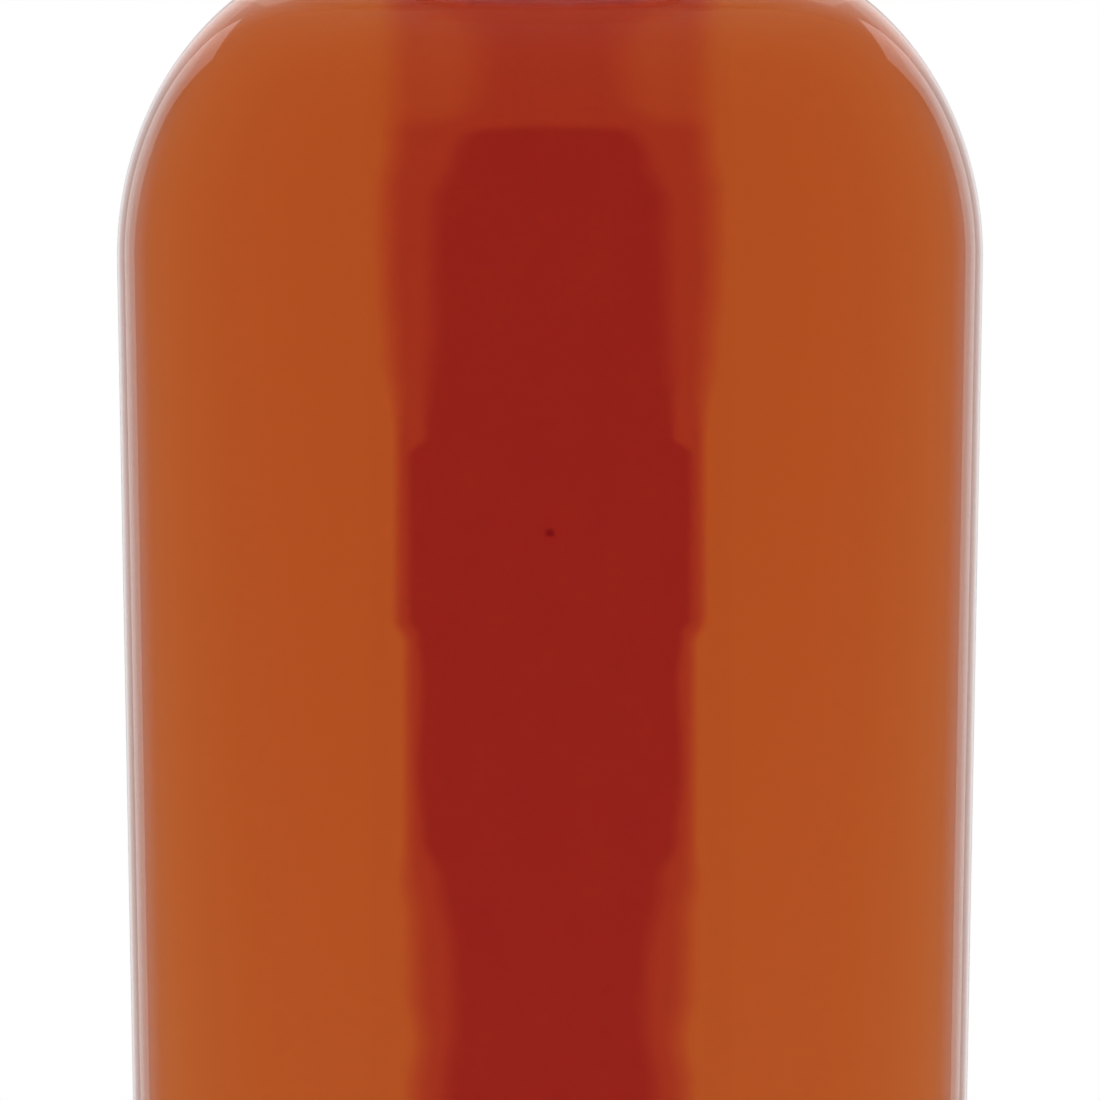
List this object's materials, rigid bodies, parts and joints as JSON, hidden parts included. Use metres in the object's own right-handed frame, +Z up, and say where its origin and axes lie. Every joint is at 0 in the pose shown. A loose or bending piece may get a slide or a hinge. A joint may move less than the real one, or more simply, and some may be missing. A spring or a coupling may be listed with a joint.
{
  "type": "whisky bottle",
  "caption": "Flat-sided clear glass whisky bottle, full, with round shoulders, a straight neck, a cork stopper with a wooden head and a narrow see-through label on its back.",
  "frame": {"origin": "middle of the base, at the level the bottle stands on", "axes": "+Z up towards the mouth, +X to the right across the wide face, the bare face looks along -Y and the label is on the +Y face"},
  "size_m": [0.098, 0.0582, 0.2484],
  "materials": {
    "clear_glass": "clear polished glass",
    "whisky": "clear amber liquid",
    "cork": "natural cork",
    "stopper_wood": "dark stained turned wood, satin",
    "label_film": "clear film printed with see-through wine-red ink"
  },
  "bodies": {
    "root": {"glass_bottle": "clear_glass", "whisky": "whisky", "cork": "cork", "stopper_head": "stopper_wood", "back_label": "label_film"}
  },
  "joints": []
}
